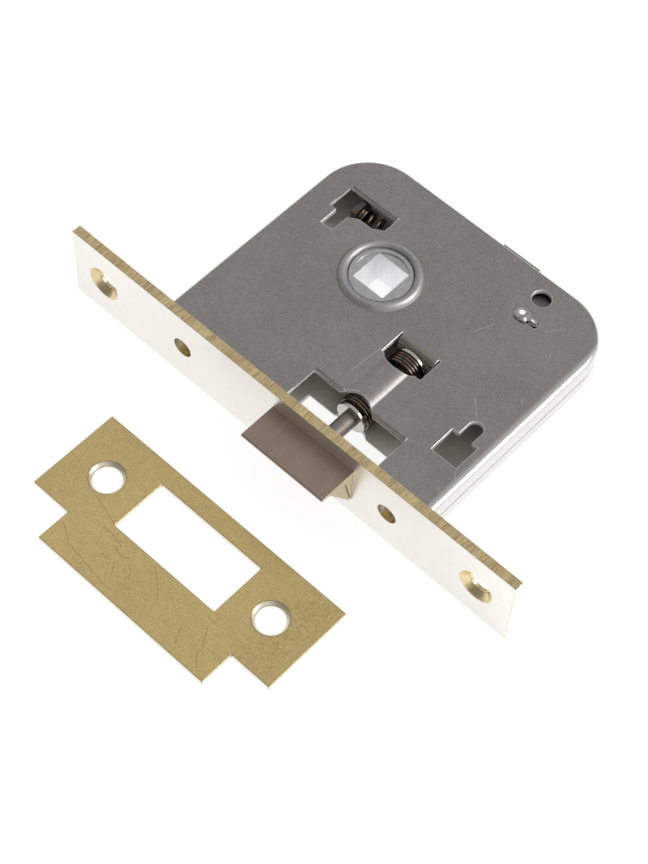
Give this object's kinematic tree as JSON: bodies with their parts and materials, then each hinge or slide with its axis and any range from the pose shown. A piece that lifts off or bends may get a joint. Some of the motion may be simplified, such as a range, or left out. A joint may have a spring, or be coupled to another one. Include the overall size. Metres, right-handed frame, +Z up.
{
  "type": "door latch",
  "caption": "Mortise door latch: brass faceplate, pressed steel case with windows onto the springs, bevelled sprung bolt, square-holed follower, and the brass strike plate beside it",
  "frame": {"origin": "middle of the faceplate's back face, between the two screw holes", "axes": "X along the faceplate, Y from the faceplate into the door, Z up through the door's thickness as the latch lies on the table"},
  "size_m": [0.12, 0.113, 0.02],
  "materials": {
    "plated_brass": "polished",
    "pressed_steel": "satin",
    "zinc_steel": "satin",
    "bolt_steel": "satin",
    "spring_steel": "satin",
    "follower_steel": "satin"
  },
  "bodies": {
    "latch_case": {"faceplate": "plated_brass", "faceplate_rivets": "plated_brass", "case_body": "pressed_steel", "case_cover": "pressed_steel", "seat_washer": "zinc_steel", "bolt_spring": "spring_steel", "return_spring": "spring_steel", "strike_plate": "plated_brass"},
    "sliding_bolt": {"latch_bolt": "bolt_steel", "bolt_stem": "zinc_steel", "stem_washer": "zinc_steel", "tail_plate": "zinc_steel"},
    "turning_follower": {"follower": "follower_steel"},
    "spring_plunger": {"return_plunger": "zinc_steel"}
  },
  "joints": [
    {"name": "bolt_slide", "type": "slide", "parent": "latch_case", "child": "sliding_bolt", "axis": [0, 1, 0], "range_m": [0, 0.009], "stiffness_N_per_m": 250, "springref_m": -0.004, "deforming": ["bolt_spring"]},
    {"name": "follower_turn", "type": "hinge", "parent": "latch_case", "child": "turning_follower", "pos_m": [-0.0094, 0.0374, 0], "axis": [0, 0, 1], "range_deg": [0, 42.1]},
    {"name": "plunger_slide", "type": "slide", "parent": "latch_case", "child": "spring_plunger", "axis": [-1, 0, 0], "range_m": [0, 0.00819], "deforming": ["return_spring"]}
  ],
  "couplings": [
    {"joint": "follower_turn", "follows": "bolt_slide", "rad_per_m": 81.449},
    {"joint": "plunger_slide", "follows": "bolt_slide", "ratio": 0.90787}
  ]
}
